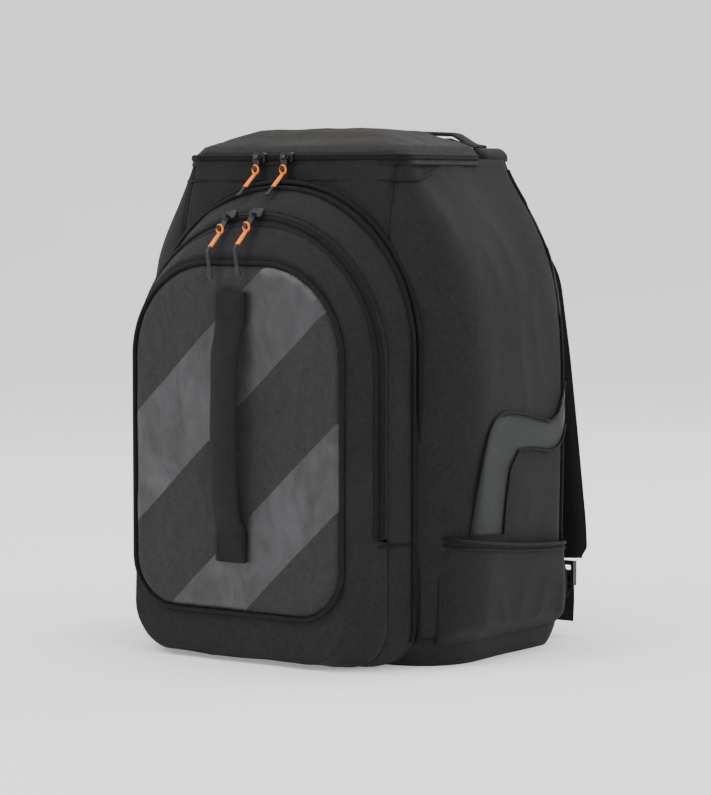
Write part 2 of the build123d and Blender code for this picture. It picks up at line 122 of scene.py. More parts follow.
# ---- curves and grids ---------------------------------------------------------------------
def outline(half, low, high, r_low, r_high):
    """A rounded rectangle as a dense closed line, from the middle of its low side round by +."""
    parts = []
    corners = [
        (half - r_low, low + r_low, r_low, -90),
        (half - r_high, high - r_high, r_high, 0),
        (r_high - half, high - r_high, r_high, 90),
        (r_low - half, low + r_low, r_low, 180),
    ]
    parts.append([(0.0, low)])
    for cx, cy, r, start in corners:
        angles = np.radians(np.linspace(start, start + 90, CORNER_POINTS))
        parts.append(np.stack([cx + r * np.cos(angles), cy + r * np.sin(angles)], axis=1))
    parts.append([(0.0, low)])
    return np.concatenate(parts)


def lengths(line):
    """Distance along a line of points, from its first point."""
    steps = np.linalg.norm(np.diff(line, axis=0), axis=1)
    return np.concatenate([[0.0], np.cumsum(steps)])


def points_at(line, at):
    """The points of a line at given distances along it."""
    s = lengths(line)
    return np.stack([np.interp(at, s, values) for values in line.T], axis=-1)


def resample(line, count, start=0.0, end=None):
    """Evenly spaced points on a line, between two distances along it."""
    end = lengths(line)[-1] if end is None else end
    return points_at(line, np.linspace(start, end, count))


def grown(shape, grow, count=None):
    """The outline of (half, low, high, low radius, high radius) moved outwards, and as count
    evenly spaced points of a ring where count is given."""
    half, low, high, r_low, r_high = shape
    line = outline(half + grow, low - grow, high + grow, r_low + grow, r_high + grow)
    return line if count is None else resample(line, count + 1)[:-1]


def relax(line, times, ring=False):
    """Rounds off the corners of a line of points, in place."""
    for _ in range(times):
        line[1:-1] = (line[:-2] + 2 * line[1:-1] + line[2:]) / 4
        if ring:
            line[0] = line[-1] = (line[1] + line[-2]) / 2


def both_sides(half):
    """A plan line from the middle out to +X, with its mirror image before it."""
    return np.concatenate([half[:0:-1] * np.array([-1, 1]), half])


def at_height(flat, z):
    """A plan line's (x, y) points as 3-D points at one height."""
    return np.column_stack([flat, np.full(len(flat), z)])


def at_depth(flat, y):
    """A front view's (x, z) points as 3-D points at one depth."""
    return np.column_stack([flat[:, 0], np.full(len(flat), y), flat[:, 1]])


def middle(points):
    return (points.max(axis=0) + points.min(axis=0)) / 2


def metres(points):
    """Places in the model's mm as places in the frame's metres."""
    return (np.asarray(points) + SHIFT) * MM


def section(table, at):
    """A table's row at an in-between height or depth."""
    keys = table[:, 0]
    order = np.argsort(keys)
    return [np.interp(at, keys[order], table[order, k]) for k in range(1, table.shape[1])]


def smooth(t):
    t = np.clip(t, 0.0, 1.0)
    return t * t * (3 - 2 * t)


def grid_normals(p, closed):
    """Unit normals of a grid of points, pointing outwards."""
    if closed:
        around = np.roll(p, -1, axis=1) - np.roll(p, 1, axis=1)
    else:
        around = np.gradient(p, axis=1)
    n = np.cross(around, np.gradient(p, axis=0))
    size = np.linalg.norm(n, axis=2, keepdims=True)
    return n / np.maximum(size, 1e-9)


def grain(p, scale, seed, stretch=(1.0, 1.0, 1.0)):
    """Smooth noise over a grid of points, about -1 to 1, with features about scale mm wide."""
    q = p.reshape(-1, 3) * np.array(stretch) / scale + seed * 7.31
    values = [noise.noise(Vector(v)) for v in q]
    return np.array(values).reshape(p.shape[:-1]) * 1.6


def edge_distance(p, edges, closed=False):
    """Distance in mm of each grid point from the named edges: l, r, b, t."""
    far = np.full(p.shape[:2], 1e3)
    across = np.linalg.norm(np.diff(p, axis=1), axis=2)
    up = np.linalg.norm(np.diff(p, axis=0), axis=2)
    zero_col = np.zeros((p.shape[0], 1))
    zero_row = np.zeros((1, p.shape[1]))
    if not closed and "l" in edges:
        far = np.minimum(far, np.concatenate([zero_col, np.cumsum(across, axis=1)], axis=1))
    if not closed and "r" in edges:
        to_right = np.cumsum(across[:, ::-1], axis=1)[:, ::-1]
        far = np.minimum(far, np.concatenate([to_right, zero_col], axis=1))
    if "b" in edges:
        far = np.minimum(far, np.concatenate([zero_row, np.cumsum(up, axis=0)], axis=0))
    if "t" in edges:
        to_top = np.cumsum(up[::-1], axis=0)[::-1]
        far = np.minimum(far, np.concatenate([to_top, zero_row], axis=0))
    return far


def sew(p, edges, seed, closed=False, dip=2.0, wave=2.0, crease=0.7, pucker=0.5):
    """Turns a smooth grid into sewn cloth: it sinks at its seams, puckers beside them and waves
    and creases in between."""
    n = grid_normals(p, closed)
    d = edge_distance(p, edges, closed)
    inner = smooth(d / 35.0)
    lift = wave * inner * grain(p, 95.0, seed)
    folds = 1.0 - np.abs(grain(p, 42.0, seed + 3, (1.0, 1.0, 0.55))) * 1.6
    lift += crease * smooth(d / 18.0) * np.clip(folds, -0.5, 1.0)
    lift += pucker * np.exp(-d / 9.0) * smooth(d / 3.0) * grain(p, 9.0, seed + 5)
    lift -= dip * np.exp(-((d / 3.4) ** 2))
    return p + n * lift[..., None]


def link(name, verts, faces, uv=None, material=None):
    """A shaded mesh object from points in mm."""
    mesh = bpy.data.meshes.new(name)
    mesh.from_pydata(metres(np.reshape(verts, (-1, 3))).tolist(), [], faces)
    mesh.polygons.foreach_set("use_smooth", np.ones(len(mesh.polygons), bool))
    if uv is not None:
        layer = mesh.uv_layers.new(name=UV_MAP)
        loops = np.zeros(len(mesh.loops), int)
        mesh.loops.foreach_get("vertex_index", loops)
        layer.data.foreach_set("uv", (np.asarray(uv).reshape(-1, 2)[loops] * MM).ravel())
    if material is not None:
        mesh.materials.append(material)
    mesh.update()
    obj = bpy.data.objects.new(name, mesh)
    bpy.context.scene.collection.objects.link(obj)
    return obj


def quads(rows, cols, closed=True):
    """Faces between the rows of a grid; a closed grid's last column joins its first."""
    faces = []
    for r in range(0, (rows - 1) * cols, cols):
        for c in range(cols if closed else cols - 1):
            d = (c + 1) % cols
            faces.append((r + c, r + d, r + cols + d, r + cols + c))
    return faces


def grid_object(name, p, material, closed=False, thick=0.0, caps=""):
    """A cloth object from a grid of points; thick gives it an inner side as well, and caps close
    its first or last ring."""
    rows, cols = p.shape[:2]
    uv = np.zeros((rows, cols, 2))
    mid = p[rows // 2]
    uv[..., 0] = lengths(mid)[None, :]
    steps = np.linalg.norm(np.diff(p, axis=0), axis=2).mean(axis=1)
    uv[..., 1] = np.concatenate([[0.0], np.cumsum(steps)])[:, None]
    faces = quads(rows, cols, closed)
    if "first" in caps:
        faces.append(tuple(range(cols - 1, -1, -1)))
    if "last" in caps:
        faces.append(tuple(range((rows - 1) * cols, rows * cols)))
    obj = link(name, p, faces, uv, material)
    if thick:
        shell = obj.modifiers.new("thickness", "SOLIDIFY")
        shell.thickness = thick * MM
        shell.offset = -1.0
    return obj


def frames_along(line, up):
    """Tangent, side and up directions at each point of a line; up is one vector or one per point."""
    t = np.gradient(line, axis=0)
    t /= np.linalg.norm(t, axis=1, keepdims=True)
    up = np.broadcast_to(np.asarray(up, float), line.shape)
    side = np.cross(t, up)
    side /= np.linalg.norm(side, axis=1, keepdims=True)
    return t, side, np.cross(side, t)


def line_inside(obj, lining):
    """Gives a thick cloth's inner side its own material."""
    obj.data.materials.append(lining)
    obj.modifiers["thickness"].material_offset = 1


def sweep(name, line, up, profile, material, caps=True):
    """Carries a closed cross section, (side, up) points, along a line."""
    _, side, above = frames_along(line, up)
    profile = np.asarray(profile, float)
    if profile.ndim == 2:
        profile = np.broadcast_to(profile, (len(line),) + profile.shape)
    ring = line[:, None] + side[:, None] * profile[..., :1] + above[:, None] * profile[..., 1:]
    n, m = ring.shape[:2]
    faces = quads(n, m)
    if caps:
        faces.append(tuple(range(m - 1, -1, -1)))
        faces.append(tuple((n - 1) * m + k for k in range(m)))
    uv = np.zeros((n, m, 2))
    uv[..., 0] = lengths(np.concatenate([profile[0], profile[0][:1]]))[None, :-1]
    uv[..., 1] = lengths(line)[:, None]
    return link(name, ring, faces, uv, material)


def circle(radius, sides=10):
    a = np.linspace(0, 2 * math.pi, sides, endpoint=False)
    return np.stack([radius * np.cos(a), radius * np.sin(a)], axis=1)


def flat_profile(width, thick, bulge=0.0):
    """Cross section of a strip: flat with soft edges, and crowned by bulge on both faces."""
    x = np.linspace(-1, 1, 15)
    crown = thick / 2 + bulge * (1 - x**2)
    crown[[0, -1]] *= 0.35
    crown[[1, -2]] *= 0.85
    top = np.stack([x * width / 2, crown], axis=1)
    return np.concatenate([top, top[::-1] * np.array([1, -1])])[::-1]


def join(name, objects):
    """One object out of several; the first one's name is replaced."""
    with bpy.context.temp_override(active_object=objects[0], selected_editable_objects=objects):
        bpy.ops.object.join()
    objects[0].name = name
    return objects[0]


def stitches(name, lines, material, pitch=4.2, length=3.0, radius=0.33):
    """Thread stitches lying on the cloth along lines of (points, normals)."""
    verts = []
    faces = []
    shape = circle(radius, 6)
    shape[:, 1] *= 0.8
    for points, normals in lines:
        count = int(lengths(points)[-1] // pitch)
        starts = np.arange(count)[:, None] * pitch
        marks = points_at(points, starts + np.array([0.0, length / 2, length]))
        for i, ends in enumerate(marks):
            up = normals[min(int(i / count * len(normals)), len(normals) - 1)]
            along = ends[2] - ends[0]
            side = np.cross(along, up)
            side /= np.linalg.norm(side) + 1e-9
            base = len(verts)
            for end, lift in zip(ends, (-0.25, 0.25, -0.25)):
                for a, b in shape:
                    verts.append(end + side * a + up * (b + lift))
            faces += [tuple(base + i for i in face) for face in quads(3, len(shape))]
    return link(name, verts, faces, None, material)


class Skin:
    """The outer face of some CAD nodes, for laying cloth exactly on it."""

    def __init__(self, frame, *nodes):
        verts = []
        faces = []
        for node in nodes:
            mesh = frame["nodes"][node].data
            base = len(verts)
            verts += [tuple(v.co) for v in mesh.vertices]
            faces += [tuple(base + i for i in f.vertices) for f in mesh.polygons]
        self.tree = BVHTree.FromPolygons(verts, faces)

    def snap(self, p, lift=0.3):
        """Grid points moved to the nearest place on the CAD, and lifted off it a little."""
        out = np.empty_like(p).reshape(-1, 3)
        for i, q in enumerate(p.reshape(-1, 3)):
            place, normal, _, _ = self.tree.find_nearest(Vector(metres(q)))
            out[i] = np.array(place) / MM - SHIFT + np.array(normal) * lift
        return out.reshape(p.shape)


# ---- materials ----------------------------------------------------------------------------
class Shader:
    """A node material under construction."""

    def __init__(self, name, roughness=0.8, sheen=0.0, metallic=0.0, specular=0.15):
        self.material = bpy.data.materials.new(name)
        self.material.use_nodes = True
        self.tree = self.material.node_tree
        self.bsdf = self.tree.nodes["Principled BSDF"]
        self.bsdf.inputs["Roughness"].default_value = roughness
        self.bsdf.inputs["Metallic"].default_value = metallic
        self.bsdf.inputs["Specular IOR Level"].default_value = specular
        self.bsdf.inputs["Sheen Weight"].default_value = sheen
        self.bsdf.inputs["Sheen Roughness"].default_value = 0.45

    def put(self, kind, settings=None, **inputs):
        """A new node; inputs are values, or sockets to link, by the socket's name."""
        made = self.tree.nodes.new(kind)
        for key, value in (settings or {}).items():
            setattr(made, key, value)
        for key, value in inputs.items():
            numbered = key[0] == "i" and key[1:].isdigit()
            socket = made.inputs[int(key[1:]) if numbered else key.replace("_", " ")]
            if isinstance(value, bpy.types.NodeSocket):
                self.tree.links.new(value, socket)
            else:
                socket.default_value = value
        return made

    def math(self, operation, a, b=0.0, c=0.0):
        return self.put("ShaderNodeMath", {"operation": operation}, i0=a, i1=b, i2=c).outputs[0]

    def span(self, value, low, high):
        """A value from 0 to 1 stretched over low to high."""
        return self.put("ShaderNodeMapRange", Value=value, To_Min=low, To_Max=high).outputs["Result"]

    def wear(self, name, value):
        self.tree.links.new(value, self.bsdf.inputs[name])

    def place(self):
        """Object coordinates: the place on the bag, in metres."""
        return self.put("ShaderNodeTexCoord").outputs["Object"]

    def threads(self, pitch_u, pitch_v, lean=0.0):
        """A wave of woven threads over the cloth, from -1 to 1."""
        uv = self.put("ShaderNodeUVMap", {"uv_map": UV_MAP}).outputs["UV"]
        parts = self.put("ShaderNodeSeparateXYZ", Vector=uv)
        u, v = parts.outputs[0], parts.outputs[1]
        turn = 2 * math.pi
        slant = self.math("MULTIPLY", u, lean * turn / pitch_u)
        along = self.math("MULTIPLY_ADD", v, turn / pitch_v, slant)
        across = self.math("SINE", self.math("MULTIPLY", u, turn / pitch_u))
        return self.math("MULTIPLY", across, self.math("SINE", along))

    def clouds(self, size, detail=4.0, rough=0.6):
        """Soft noise from 0 to 1 with patches about size metres across."""
        return self.put(
            "ShaderNodeTexNoise", Vector=self.place(), Scale=1.0 / size, Detail=detail, Roughness=rough
        ).outputs["Fac"]

    def blend_colours(self, factor, dark, light, low=0.3, high=0.7):
        ramp = self.put("ShaderNodeMapRange", Value=factor, From_Min=low, From_Max=high)
        mix = self.put("ShaderNodeMix", {"data_type": "RGBA"}, i0=ramp.outputs["Result"])
        mix.inputs[6].default_value = (*dark, 1.0)
        mix.inputs[7].default_value = (*light, 1.0)
        return mix.outputs[2]

    def bump(self, height, depth, below=None, strength=1.0):
        made = self.put("ShaderNodeBump", Height=height, Distance=depth, Strength=strength)
        if below is not None:
            self.tree.links.new(below, made.inputs["Normal"])
        return made.outputs["Normal"]


def shade(colour, factor):
    return tuple(c * factor for c in colour)


def woven(name, colour, pitch=0.0009, roughness=0.8, sheen=0.03, creases=0.0006):
    """Plain woven cloth with slubs, faint creases and rubbed, lighter patches."""
    s = Shader(name, roughness, sheen)
    weave = s.threads(pitch, pitch)
    slub = s.clouds(0.0035, 3.0, 0.75)
    patches = s.clouds(0.075, 5.0)
    tone = s.math("ADD", s.math("MULTIPLY", slub, 0.65), s.math("MULTIPLY", patches, 0.35))
    s.wear("Base Color", s.blend_colours(tone, shade(colour, 0.72), shade(colour, 1.3), 0.36, 0.64))
    s.wear("Roughness", s.span(patches, roughness - 0.08, roughness + 0.08))
    soft = s.bump(s.clouds(0.028, 5.0, 0.55), creases)
    slubs = s.bump(slub, 0.00012, soft)
    s.wear("Normal", s.bump(weave, 0.00012, slubs, 0.8))
    return s.material


def front_cloth(name, colour):
    """The front panel's cloth, with two plain parallel glossy film bands on it; the bands' lighter,
    mottled colour is painted reflection.
    """
    s = Shader(name, 0.8, 0.03, specular=0.4)
    weave = s.threads(0.0009, 0.0009)
    slub = s.clouds(0.0035, 3.0, 0.75)
    place = s.put("ShaderNodeSeparateXYZ", Vector=s.place())
    x, z = place.outputs[0], place.outputs[2]
    edge = s.math("MULTIPLY", s.clouds(0.004, 2.0), 0.0012)
    rise = s.math("ADD", s.math("MULTIPLY_ADD", x, -BAND_SLOPE, z), edge)
    bands = []
    for low, high in BANDS:
        over, under = s.math("GREATER_THAN", rise, low), s.math("LESS_THAN", rise, high)
        bands.append(s.math("MULTIPLY", over, under))
    film = s.math("MAXIMUM", *bands)
    slanted = s.put(
        "ShaderNodeMapping", Vector=s.place(), Rotation=(0.0, 0.75, 0.0), Scale=(1.0, 1.0, 0.45)
    ).outputs[0]
    crinkle = s.put(
        "ShaderNodeTexNoise", Vector=slanted, Scale=38.0, Detail=4.0, Distortion=1.1
    ).outputs["Fac"]
    cloth = s.blend_colours(slub, shade(colour, 0.72), shade(colour, 1.3), 0.36, 0.64)
    # the film bands are painted 1.5 to 3.4 times lighter than the cloth and mottled along the crinkles:
    # painted reflection
    film_painted_reflection = s.blend_colours(crinkle, shade(colour, 1.5), shade(colour, 3.4), 0.3, 0.7)
    mix = s.put("ShaderNodeMix", {"data_type": "RGBA"}, i0=film, i6=cloth, i7=film_painted_reflection)
    s.wear("Base Color", mix.outputs[2])
    rough = s.put("ShaderNodeMix", i0=film, i2=0.82, i3=s.span(s.clouds(0.03, 4.0), 0.26, 0.4))
    s.wear("Roughness", rough.outputs[0])
    folds = s.bump(crinkle, 0.0022, s.bump(s.clouds(0.028, 5.0, 0.55), 0.0007))
    fine = s.bump(slub, 0.00012, folds)
    showing = s.math("MULTIPLY_ADD", film, -0.7, 1.0)  # the film fills most of the weave
    s.wear("Normal", s.bump(s.math("MULTIPLY", weave, showing), 0.00012, fine))
    return s.material


def webbing(name, colour, rib=0.0017):
    """Woven strap: fine ribs along it, crossed by tighter picks."""
    s = Shader(name, 0.62, 0.03)
    picks = s.threads(rib, 0.0011, 0.5)
    wear = s.clouds(0.01, 4.0)
    s.wear("Base Color", s.blend_colours(wear, shade(colour, 0.75), shade(colour, 1.35)))
    s.wear("Normal", s.bump(picks, 0.0004, s.bump(wear, 0.0004)))
    return s.material


def spacer_mesh(name, colour):
    """Open knitted mesh over foam."""
    s = Shader(name, 0.85, 0.05)
    holes = s.math("ABSOLUTE", s.threads(0.0045, 0.0045, 0.5))
    s.wear("Base Color", s.blend_colours(holes, shade(colour, 0.4), shade(colour, 1.5), 0.1, 0.6))
    s.wear("Normal", s.bump(holes, 0.0008, s.bump(s.clouds(0.03), 0.001)))
    return s.material


def zip_cloth(name, colour):
    """Zip tape: a fine twill."""
    s = Shader(name, 0.6, 0.05)
    twill = s.threads(0.0012, 0.0016, 1.0)
    s.wear("Base Color", s.blend_colours(s.clouds(0.006), shade(colour, 0.8), shade(colour, 1.3)))
    s.wear("Normal", s.bump(twill, 0.00025))
    return s.material


def moulded(name, colour, roughness, size=0.0012, depth=0.00006):
    """Moulded rubber or plastic with a fine skin and handled patches."""
    s = Shader(name, roughness, specular=0.4)
    skin = s.clouds(size, 3.0, 0.7)
    touched = s.clouds(0.012, 4.0)
    s.wear("Base Color", s.blend_colours(touched, shade(colour, 0.85), shade(colour, 1.1)))
    s.wear("Roughness", s.span(touched, roughness - 0.08, roughness + 0.1))
    s.wear("Normal", s.bump(skin, depth))
    return s.material


def painted_metal(name, colour):
    """Dark plated metal, rubbed brighter in patches."""
    s = Shader(name, 0.35, metallic=0.75, specular=0.5)
    rub = s.clouds(0.004, 5.0, 0.7)
    s.wear("Base Color", s.blend_colours(rub, colour, shade(colour, 2.4), 0.45, 0.75))
    s.wear("Roughness", s.span(rub, 0.26, 0.5))
    s.wear("Normal", s.bump(s.clouds(0.0008, 2.0), 0.00003))
    return s.material


# ---- boot compartment ---------------------------------------------------------------------
def plan_line(table, z, grow=0.0):
    """The outline of the bag or the lid at a height, as points (x, y)."""
    return grown(section(table, z), grow)


def place_of(line, axis, value, leg):
    """Distance along a plan line to a value of x or y: leg 0 runs from the front's middle to the
    widest point, and leg 1 from there to the back."""
    stops = [0, int(np.argmax(line[:, 0])), int(np.argmax(line[:, 1]))]
    part = slice(stops[leg], stops[leg + 1] + 1)
    return np.interp(value, line[part, axis], lengths(line)[part])


def seam_places(line):
    """Distances along a plan line of the front corner seam and of the back seam, on the + side."""
    return place_of(line, 0, FRONT_SEAM_X, 0), place_of(line, 1, BACK_SEAM_Y, 1)


def mirrored(p):
    """The same grid on the bag's other side, still facing outwards."""
    return p[:, ::-1] * np.array([-1.0, 1.0, 1.0])


def wall_grid(zone):
    """Points of one wall of the boot compartment; zone is side, front or back."""
    rows = []
    for z in np.linspace(BASE_TOP, BODY_TOP, 138):
        line = plan_line(BODY, z, 2.5)
        front_seam, back_seam = seam_places(line)
        if zone == "side":
            flat = resample(line, 92, front_seam, back_seam)
        elif zone == "front":
            flat = both_sides(resample(line, 40, 0.0, front_seam))
        else:
            half = resample(line, 60, back_seam, lengths(line)[-1] / 2)
            flat = np.concatenate([half, half[-2::-1] * np.array([-1, 1])])
        rows.append(at_height(flat, z))
    return np.array(rows)


def compartment(frame, cloth, lining):
    """The four walls and the base tub, each a sewn panel with its own inner side."""
    skin = Skin(frame, *WALLS)
    side = skin.snap(wall_grid("side"))
    front = skin.snap(wall_grid("front"))
    back = skin.snap(wall_grid("back"))
    panels = [
        ("side_panel_right", sew(side, "lrb", 1, wave=2.0, crease=0.7), "side_wall_right"),
        ("side_panel_left", sew(mirrored(side), "lrb", 2, wave=2.0, crease=0.7), "side_wall_left"),
        ("front_panel_behind", sew(front, "lrb", 3, wave=1.0), "front_wall"),
        ("back_panel", sew(back, "lrb", 4, wave=1.6), "back_wall"),
    ]
    for name, p, node in panels:
        obj = grid_object(name, p, cloth, thick=4.0)
        line_inside(obj, lining)
        dress(obj, "bag", "shell_fabric", node)
    dress(base_tub(frame, cloth), "bag", "shell_fabric", "base_tub")


def base_tub(frame, cloth):
    skin = Skin(frame, "base_tub")
    rim = grown(section(BODY, 0.0), 0.0, 259)
    rows = [at_height(rim * k, 0.0) for k in np.linspace(0.02, 1.0, 60)]
    for z in np.linspace(1.0, BASE_TOP, 12):
        rows.append(at_height(grown(section(BODY, z), 2.0, 259), z))
    p = skin.snap(np.array(rows), 0.0)
    p = sew(p, "t", 5, closed=True, wave=0.6, crease=0.3)
    p[..., 2] = np.maximum(p[..., 2], 0.0)
    return grid_object("base_cloth", p, cloth, closed=True, thick=3.5, caps="first")


def dress(obj, body, slot, *nodes):
    """Rides a piece on its body and hides the CAD nodes it stands for; slot is not used. A piece
    that spans a joint is given no body here."""
    if body is not None:
        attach(obj, body)
    if nodes:
        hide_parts(*nodes)
    return obj


def line_on(skin, flat, lift=0.6):
    """A line laid on the CAD's surface, with the surface normals along it."""
    rows = np.stack([flat + np.array([0, 0, dz]) for dz in (-1.0, 0.0, 1.0)])
    on = skin.snap(rows, lift)
    centre = on[1]
    out = np.empty_like(centre)
    for i, q in enumerate(centre):
        _, normal, _, _ = skin.tree.find_nearest(Vector(metres(q)))
        out[i] = normal
    return centre, out


def body_seams(frame, piping, thread):
    """Seams you can see on the boot compartment: corner seams, and piping down the back."""
    skin = Skin(frame, *WALLS, "base_tub")
    rows = []
    for z in np.arange(BASE_TOP + 4, BODY_TOP - 8, 4.0):
        line = plan_line(BODY, z, 1.0)
        front_seam, back_seam = seam_places(line)
        marks = [front_seam - 5.0, front_seam + 5.0, back_seam - 5.0, back_seam]
        rows.append(at_height(points_at(line, marks), z))
    rows = np.array(rows)
    seams = []
    for k in range(3):
        for sign in (1, -1):
            seams.append(line_on(skin, rows[:, k] * np.array([sign, 1, 1]), 0.15))
    dress(stitches("body_stitching", seams, thread), "bag", "shell_fabric")
    cords = []
    for sign in (1, -1):
        line, out = line_on(skin, rows[:, 3] * np.array([sign, 1, 1]), 0.4)
        cords.append(sweep("cord", line, out, circle(1.7, 8), piping))
    dress(join("back_seam_piping", cords), "bag", "piping_fabric")
    lid_welt(skin, piping)


def lid_welt(skin, piping):
    """The fine cord under the lid's zip, lower across the front than at the sides."""
    welt = []
    for t in np.linspace(-1, 1, 240):
        reach = abs(t)
        z = WELT_FRONT_Z + WELT_RISE * smooth((reach - 0.62) / 0.38)
        x, y = points_at(plan_line(BODY, z, 1.0), reach * WELT_REACH)
        welt.append([math.copysign(x, t), y, z])
    line, out = line_on(skin, np.array(welt), 0.2)
    dress(sweep("lid_welt", line, out, circle(1.3, 8), piping), "bag", "piping_fabric")


# ---- front pocket -------------------------------------------------------------------------
def pocket_line(y, count, grow=0.0):
    """The front pocket's outline at a depth, as evenly spaced 3-D points."""
    half, low, high, r_low, r_high = section(POCKET, y)
    shape = (half, low, high, r_low, min(r_high, half - 1.0))
    return at_depth(grown(shape, grow, count), y)


def gusset(cloth):
    depths = np.linspace(-72.0, ZIP_Y + 6.2, 14)
    p = np.array([pocket_line(y, POCKET_RING) for y in depths])
    p = sew(p, "bt", 11, closed=True, dip=1.6, wave=1.6, crease=0.8)
    p[..., 2] = np.maximum(p[..., 2], 0.3)
    obj = grid_object("pocket_gusset_cloth", p, cloth, closed=True, thick=3.0)
    dress(obj, "bag", "front_fabric", "pocket_gusset_fixed")


def coil_ridge(name, path, out, radius, material):
    """The ridge of a zip's coil along a path, swelling at each turn."""
    swell = 1.0 + 0.16 * np.sin(lengths(path) * 2 * math.pi / COIL_PITCH)
    return sweep(name, path, out, circle(radius, 8)[None] * swell[:, None, None], material)


def zip_half(node, start, end, coil_at, body, tape, coil):
    """One half of the pocket's zip: its tape, and the ridge of coil along its inner edge. The
    three places are measured back from the middle of the zip."""
    name = node + "_tape"
    depths = ZIP_Y + np.linspace(start, end, 6)
    p = np.array([pocket_line(y, POCKET_RING, -0.9) for y in depths])
    p = p[:, p[len(p) // 2, :, 2] > ZIP_END_Z + 2.0]
    obj = grid_object(name, p, tape, thick=1.0)
    ridge = pocket_line(ZIP_Y + coil_at, 2 * POCKET_RING, -0.2)
    ridge = ridge[ridge[:, 2] > ZIP_END_Z + 2.0]
    out = grid_normals(np.array([ridge, ridge + np.array([0, -1.0, 0])]), False)[0]
    teeth = coil_ridge(name + "_coil", ridge, out, 1.0, coil)
    dress(join(name, [obj, teeth]), body, "zip_tape", node)


def pocket_skin(cloth):
    """The pocket's front slope and the tub below it, one cloth across the fold line."""
    count = POCKET_RING
    probe = pocket_line(ZIP_Y, count)
    start = np.where(probe[:, 2] > ZIP_END_Z, ZIP_Y - 6.4, ZIP_Y + 6.0)
    rows = []
    keys = np.linspace(FACE_Y, ZIP_Y + 6.0, 60)
    stack = np.array([pocket_line(y, count) for y in keys])
    for t in np.linspace(0, 1, 13):
        at = start + (FACE_Y - start) * t
        row = [[np.interp(y, keys, stack[:, c, k]) for k in range(3)] for c, y in enumerate(at)]
        rows.append(np.array(row))
    rows.append(pocket_line(FACE_Y, count, -3.0))
    under = at_depth(grown(PANEL, -8.0, count), FACE_Y)
    for t in (0.3, 0.6, 1.0):
        rows.append(rows[13] * (1 - t) + under * t)
    centre = middle(under)
    for k in np.linspace(0.93, 0.02, 14):
        rows.append(centre + (under - centre) * k)
    p = np.array(rows)
    sewn = sew(p, "b", 12, closed=True, dip=1.4, wave=1.6, crease=0.9, pucker=0.6)
    p[:13] = sewn[:13]
    p[..., 2] = np.maximum(p[..., 2], 0.3)
    obj = grid_object("pocket_cloth", p, cloth, closed=True, thick=2.5, caps="last")
    return dress(obj, None, "front_fabric", "pocket_front", "pocket_tub")


def pillow(name, flat, place, height, rim, material, rings=26, seed=0, wave=0.8, crown=2.0):
    """A stuffed pad: a closed outline in its own plane, raised to a rim and crowned in the middle.
    place turns (a, b, out) into the bag's x, y, z."""
    centre = middle(flat)
    rows = [(k, 0.0) for k in np.linspace(0.05, 1.0, 6)]
    first = len(rows)
    size = np.abs(flat - centre).max(axis=0).min()
    for a in np.linspace(0, math.pi / 2, 6):
        rows.append((1.0 - rim * (1 - math.cos(a)) / size, (height - 0.01) * math.sin(a)))
    for k in np.linspace(1.0 - rim / size, 0.03, rings)[1:]:
        swell = 1 - (k / (1.0 - rim / size)) ** 2
        rows.append((k, height + crown * swell))
    p = np.array([[place(*(centre + (q - centre) * k), h) for q in flat] for k, h in rows])
    n = grid_normals(p[first:], True)
    lift = wave * grain(p[first:], 40.0, seed) * 0.6 + 0.4 * wave * grain(p[first:], 14.0, seed + 2)
    p[first:] += n * lift[..., None] * smooth(edge_distance(p[first:], "b") / 12.0)[..., None]
    return grid_object(name, p, material, closed=True, caps="first last")


def panel_place(a, b, out):
    return (a, FACE_Y + 0.5 - out, b)


def front_panel(cloth, piping):
    """The padded front panel and the piping sewn round it."""
    flat = grown(PANEL, 0.0, 419)
    pad = pillow(
        "front_panel_pad", flat, panel_place, 6.5, 7.0, cloth, rings=60, seed=21, wave=1.5, crown=2.5
    )
    dress(pad, None, "front_fabric", "front_panel_upper", "front_panel_lower")
    line = at_depth(grown(PANEL, 2.0, 499), FACE_Y - 3.2)
    line = np.concatenate([line, line[:1]])
    cord = sweep("panel_piping_cord", line, (0, -1, 0), circle(2.1, 10), piping, caps=False)
    dress(cord, None, "piping_fabric", "panel_piping_upper", "panel_piping_lower")
    return pad, cord


def arch_piping(piping):
    """Two cords of piping side by side where the pocket joins the bag."""
    cords = []
    for y, grow in ((-74.5, 2.2), (-81.0, 1.6)):
        line = pocket_line(y, 520, grow)
        line = line[line[:, 2] > 24.0]
        cords.append(sweep("cord", line, (0, -1, 0), circle(2.3, 10), piping))
    dress(join("arch_piping_cords", cords), "bag", "piping_fabric", "arch_piping")
    depths = np.linspace(-119.0, -84.0, 30)
    seams = []
    for side in (1.0, -1.0):
        line = np.array([(side * (section(POCKET, y)[0] + 0.4), y, 114.0) for y in depths])
        seams.append(sweep("seam", line, (side, 0, 0), circle(1.5, 8), piping))
    dress(join("zip_end_seam", seams), "bag", "piping_fabric")


# ---- lid, yoke and handles ----------------------------------------------------------------
def lid_cloth(cloth, lining):
    rows = []
    for t in np.linspace(0.0, 1.0, 14):
        z = 464.7 + 24.6 * t**1.15
        half, low, high, r_low, r_high = section(LID, z)
        swell = 1.5 * math.sin(t * math.pi)
        shape = (half + swell, low - swell, high, r_low + swell, r_high)
        rows.append(at_height(grown(shape, 0.0, 299), z))
    top = rows[-1]
    centre = middle(top)
    for k in np.linspace(0.97, 0.02, 34):
        dome = np.array([0, 0, 3.0 * (1 - k**2)])
        rows.append(centre + (top - centre) * k + dome)
    p = np.array(rows)
    p = sew(p, "b", 31, closed=True, dip=1.2, wave=1.4, crease=0.8)
    for seam_y in LID_SEAMS_Y:
        d = np.abs(p[..., 1] - seam_y)
        p[..., 2] -= 1.1 * np.exp(-((d / 2.4) ** 2)) * smooth((p[..., 2] - 470.0) / 10.0)
    obj = grid_object("lid_cloth", p, cloth, closed=True, thick=3.5, caps="last")
    line_inside(obj, lining)
    dress(obj, "lid", "lid_fabric", "lid_panel")


